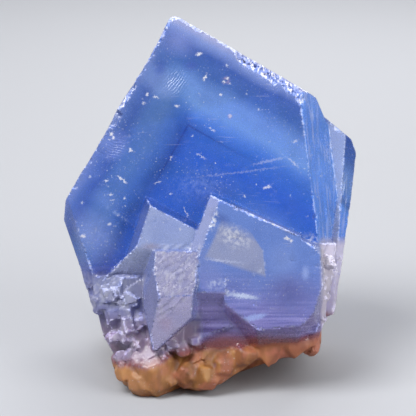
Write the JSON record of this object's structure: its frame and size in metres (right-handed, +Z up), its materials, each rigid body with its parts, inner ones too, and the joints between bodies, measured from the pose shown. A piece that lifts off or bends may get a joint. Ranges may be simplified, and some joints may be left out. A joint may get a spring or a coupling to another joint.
{
  "type": "fluorite specimen",
  "caption": "Hand specimen of intergrown cubic fluorite crystals with cleaved corners, blue above, paling through purple into a honey base with a flat foot.",
  "frame": {"origin": "on the ground, under the middle of the specimen's box", "axes": "+Z up from the flat foot to the tip of the largest crystal; the largest crystal's square face looks along -Y and leans back; +X to that face's right"},
  "size_m": [0.071, 0.0643, 0.0859],
  "materials": {
    "blue_fluorite": "clear to hazy natural crystal with bruised white edges, broken purple and honey colour below"
  },
  "bodies": {
    "root": {"fluorite_cluster": "blue_fluorite"}
  },
  "joints": []
}
